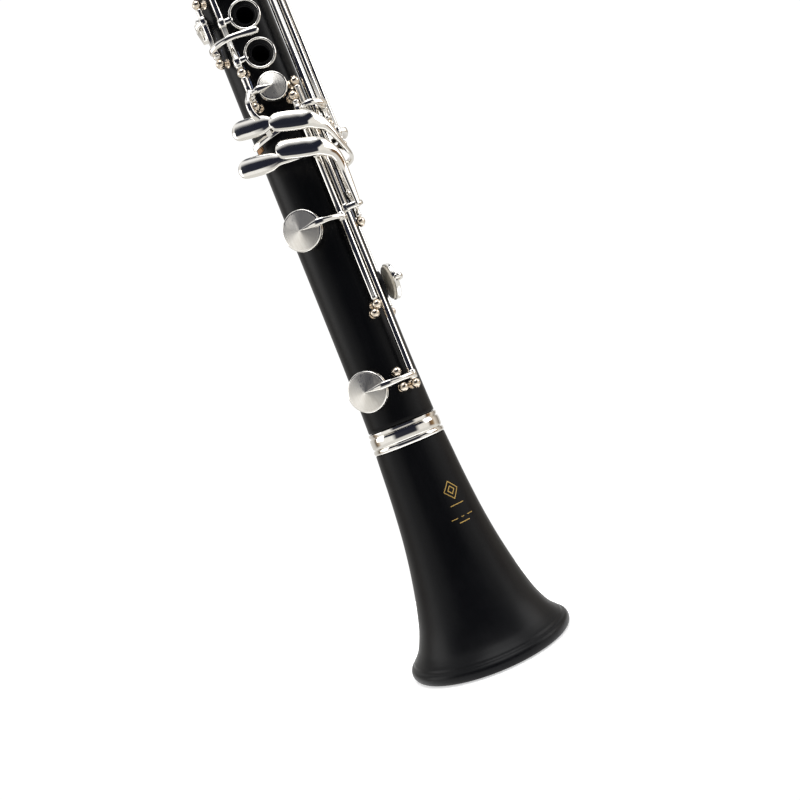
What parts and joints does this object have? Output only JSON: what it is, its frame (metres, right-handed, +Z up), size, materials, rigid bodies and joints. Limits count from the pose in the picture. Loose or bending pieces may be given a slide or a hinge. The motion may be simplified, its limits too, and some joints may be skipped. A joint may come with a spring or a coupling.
{
  "type": "clarinet",
  "caption": "Straight black clarinet standing on its bell, with nickel-plated keys, finger rings, levers, side keys, thumb rest, ligature and reed.",
  "frame": {"origin": "centre of the bell's rim plane, on the bore axis", "axes": "+Z up the bore from the bell to the mouthpiece; -Y is the front, with the finger holes; +X is the side of the left hand's levers"},
  "size_m": [0.0756, 0.0756, 0.676],
  "materials": {
    "black_body": "matte black resin with a faint blue cast, lightly brushed lengthwise",
    "nickel_plate": "polished nickel plate, warm white",
    "steel_rod": "plated posts and steel rods, polished",
    "cork": "natural sheet cork, matte",
    "pad_skin": "pale bladder skin over felt, matte",
    "ebonite": "polished black hard rubber",
    "cane": "bare cane, satin"
  },
  "bodies": {
    "body": {"barrel": "black_body", "barrel_lower_ring": "nickel_plate", "barrel_tenon_cork": "cork", "barrel_upper_ring": "nickel_plate", "bell": "black_body", "bell_ring": "nickel_plate", "bell_tenon_cork": "cork", "c_sharp_rod_and_posts": "steel_rod", "cross_f_sharp_rod_and_posts": "steel_rod", "left_line_rod_and_posts": "steel_rod", "lever_e_rod_and_posts": "steel_rod", "lever_f_rod_and_posts": "steel_rod", "lever_f_sharp_rod_and_posts": "steel_rod", "ligature": "nickel_plate", "ligature_screw_1": "nickel_plate", "ligature_screw_2": "nickel_plate", "low_e_rod_and_posts": "steel_rod", "low_f_rod_and_posts": "steel_rod", "low_f_sharp_rod_and_posts": "steel_rod", "lower_joint": "black_body", "lower_joint_ring": "nickel_plate", "middle_tenon_cork": "cork", "mouthpiece": "ebonite", "mouthpiece_cork": "cork", "reed": "cane", "register_rod_and_posts": "steel_rod", "side_keys_saddle_and_rods": "steel_rod", "sliver_rod_and_posts": "steel_rod", "throat_a_rod_and_posts": "steel_rod", "throat_g_sharp_rod_and_posts": "steel_rod", "thumb_rest": "nickel_plate", "thumb_ring_rod_and_posts": "steel_rod", "upper_joint": "black_body", "upper_ring_rod_and_posts": "steel_rod"},
    "low_e_key": {"low_e_key": "nickel_plate", "low_e_pad": "pad_skin"},
    "low_f_key": {"low_f_key": "nickel_plate", "low_f_pad": "pad_skin"},
    "low_f_sharp_key": {"low_f_sharp_key": "nickel_plate", "low_f_sharp_pad": "pad_skin"},
    "low_g_sharp_key": {"low_g_sharp_key": "nickel_plate", "low_g_sharp_pad": "pad_skin"},
    "lower_rings_key": {"lower_ring_key": "nickel_plate", "lower_ring_pad": "pad_skin"},
    "cross_f_sharp_key": {"cross_f_sharp_key": "nickel_plate"},
    "lever_e": {"lever_e": "nickel_plate"},
    "lever_f": {"lever_f": "nickel_plate"},
    "lever_f_sharp": {"lever_f_sharp": "nickel_plate"},
    "upper_rings_key": {"upper_ring_key": "nickel_plate"},
    "thumb_ring_key": {"thumb_ring_key": "nickel_plate"},
    "register_key": {"register_key": "nickel_plate"},
    "throat_a_key": {"throat_a_key": "nickel_plate"},
    "throat_g_sharp_key": {"throat_g_sharp_key": "nickel_plate"},
    "c_sharp_key": {"c_sharp_key": "nickel_plate"},
    "sliver_key": {"sliver_key": "nickel_plate"},
    "side_1_key": {"side_key_1": "nickel_plate"},
    "side_2_key": {"side_key_2": "nickel_plate"},
    "side_3_key": {"side_key_3": "nickel_plate"},
    "side_4_key": {"side_key_4": "nickel_plate"}
  },
  "joints": [
    {"name": "low_e_hinge", "type": "hinge", "parent": "body", "child": "low_e_key", "pos_m": [0.00966, -0.01589, 0.195], "axis": [0, 0, 1], "range_deg": [-7.6, 0], "stiffness_Nm_per_rad": 0.02, "springref_deg": 14.32},
    {"name": "low_f_hinge", "type": "hinge", "parent": "body", "child": "low_f_key", "pos_m": [0.00636, -0.01748, 0.21075], "axis": [0, 0, 1], "range_deg": [-8.2, 0], "stiffness_Nm_per_rad": 0.02, "springref_deg": 14.32},
    {"name": "low_f_sharp_hinge", "type": "hinge", "parent": "body", "child": "low_f_sharp_key", "pos_m": [0.01642, 0.00873, 0.20925], "axis": [0, 0, 1], "range_deg": [-8.5, 0], "stiffness_Nm_per_rad": 0.02, "springref_deg": 14.32},
    {"name": "low_g_sharp_hinge", "type": "hinge", "parent": "body", "child": "low_g_sharp_key", "pos_m": [-0.0104, -0.01542, 0.2685], "axis": [0, 0, 1], "range_deg": [-11, 0], "stiffness_Nm_per_rad": 0.02, "springref_deg": 14.32},
    {"name": "lower_rings_hinge", "type": "hinge", "parent": "body", "child": "lower_rings_key", "pos_m": [-0.0104, -0.01542, 0.30725], "axis": [0, 0, 1], "range_deg": [0, 7], "stiffness_Nm_per_rad": 0.02, "springref_deg": -14.32},
    {"name": "cross_f_sharp_hinge", "type": "hinge", "parent": "body", "child": "cross_f_sharp_key", "pos_m": [-0.01672, -0.00815, 0.3], "axis": [0, 0, 1], "range_deg": [0, 8], "stiffness_Nm_per_rad": 0.02, "springref_deg": -14.32},
    {"name": "lever_e_hinge", "type": "hinge", "parent": "body", "child": "lever_e", "pos_m": [0.01427, -0.01285, 0.2645], "axis": [0, 0, 1], "range_deg": [0, 8], "stiffness_Nm_per_rad": 0.02, "springref_deg": -14.32},
    {"name": "lever_f_hinge", "type": "hinge", "parent": "body", "child": "lever_f", "pos_m": [0.01836, -0.00976, 0.285], "axis": [0, 0, 1], "range_deg": [0, 11.7], "stiffness_Nm_per_rad": 0.02, "springref_deg": -14.32},
    {"name": "lever_f_sharp_hinge", "type": "hinge", "parent": "body", "child": "lever_f_sharp", "pos_m": [0.02144, -0.00495, 0.278], "axis": [0, 0, 1], "range_deg": [0, 5.7], "stiffness_Nm_per_rad": 0.02, "springref_deg": -14.32},
    {"name": "upper_rings_hinge", "type": "hinge", "parent": "body", "child": "upper_rings_key", "pos_m": [-0.01023, -0.01408, 0.4225], "axis": [0, 0, 1], "range_deg": [0, 7], "stiffness_Nm_per_rad": 0.02, "springref_deg": -14.32},
    {"name": "thumb_ring_hinge", "type": "hinge", "parent": "body", "child": "thumb_ring_key", "pos_m": [0.01613, 0.00652, 0.494], "axis": [0, 0, 1], "range_deg": [0, 6.5], "stiffness_Nm_per_rad": 0.02, "springref_deg": -14.32},
    {"name": "register_hinge", "type": "hinge", "parent": "body", "child": "register_key", "pos_m": [0, 0.0174, 0.512], "axis": [-1, 0, 0], "range_deg": [0, 5.5], "stiffness_Nm_per_rad": 0.02, "springref_deg": -14.32},
    {"name": "throat_a_hinge", "type": "hinge", "parent": "body", "child": "throat_a_key", "pos_m": [0, -0.0174, 0.512], "axis": [1, 0, 0], "range_deg": [0, 5.5], "stiffness_Nm_per_rad": 0.02, "springref_deg": -14.32},
    {"name": "throat_g_sharp_hinge", "type": "hinge", "parent": "body", "child": "throat_g_sharp_key", "pos_m": [0.01071, -0.01371, 0.502], "axis": [0.788, 0.6157, 0], "range_deg": [0, 4.5], "stiffness_Nm_per_rad": 0.02, "springref_deg": -14.32},
    {"name": "c_sharp_hinge", "type": "hinge", "parent": "body", "child": "c_sharp_key", "pos_m": [0.01371, -0.01071, 0.4015], "axis": [0, 0, 1], "range_deg": [-9, 0], "stiffness_Nm_per_rad": 0.02, "springref_deg": 14.32},
    {"name": "sliver_hinge", "type": "hinge", "parent": "body", "child": "sliver_key", "pos_m": [0.01252, -0.01209, 0.4415], "axis": [0, 0, 1], "range_deg": [-9, 0], "stiffness_Nm_per_rad": 0.02, "springref_deg": 14.32},
    {"name": "side_1_hinge", "type": "hinge", "parent": "body", "child": "side_1_key", "pos_m": [-0.0159, -0.00708, 0.421], "axis": [0, 0, 1], "range_deg": [0, 5], "stiffness_Nm_per_rad": 0.02, "springref_deg": -14.32},
    {"name": "side_2_hinge", "type": "hinge", "parent": "body", "child": "side_2_key", "pos_m": [-0.01714, -0.00302, 0.4305], "axis": [0, 0, 1], "range_deg": [0, 5.5], "stiffness_Nm_per_rad": 0.02, "springref_deg": -14.32},
    {"name": "side_3_hinge", "type": "hinge", "parent": "body", "child": "side_3_key", "pos_m": [-0.01736, 0.00121, 0.447], "axis": [0, 0, 1], "range_deg": [-9, 0], "stiffness_Nm_per_rad": 0.02, "springref_deg": 14.32},
    {"name": "side_4_hinge", "type": "hinge", "parent": "body", "child": "side_4_key", "pos_m": [-0.01655, 0.00538, 0.456], "axis": [0, 0, 1], "range_deg": [-10, 0], "stiffness_Nm_per_rad": 0.02, "springref_deg": 14.32}
  ],
  "couplings": [
    {"joint": "lever_e_hinge", "follows": "low_e_hinge", "ratio": -1.05},
    {"joint": "lever_f_hinge", "follows": "low_f_hinge", "ratio": -1.42},
    {"joint": "lever_f_sharp_hinge", "follows": "low_f_sharp_hinge", "ratio": -0.67}
  ]
}
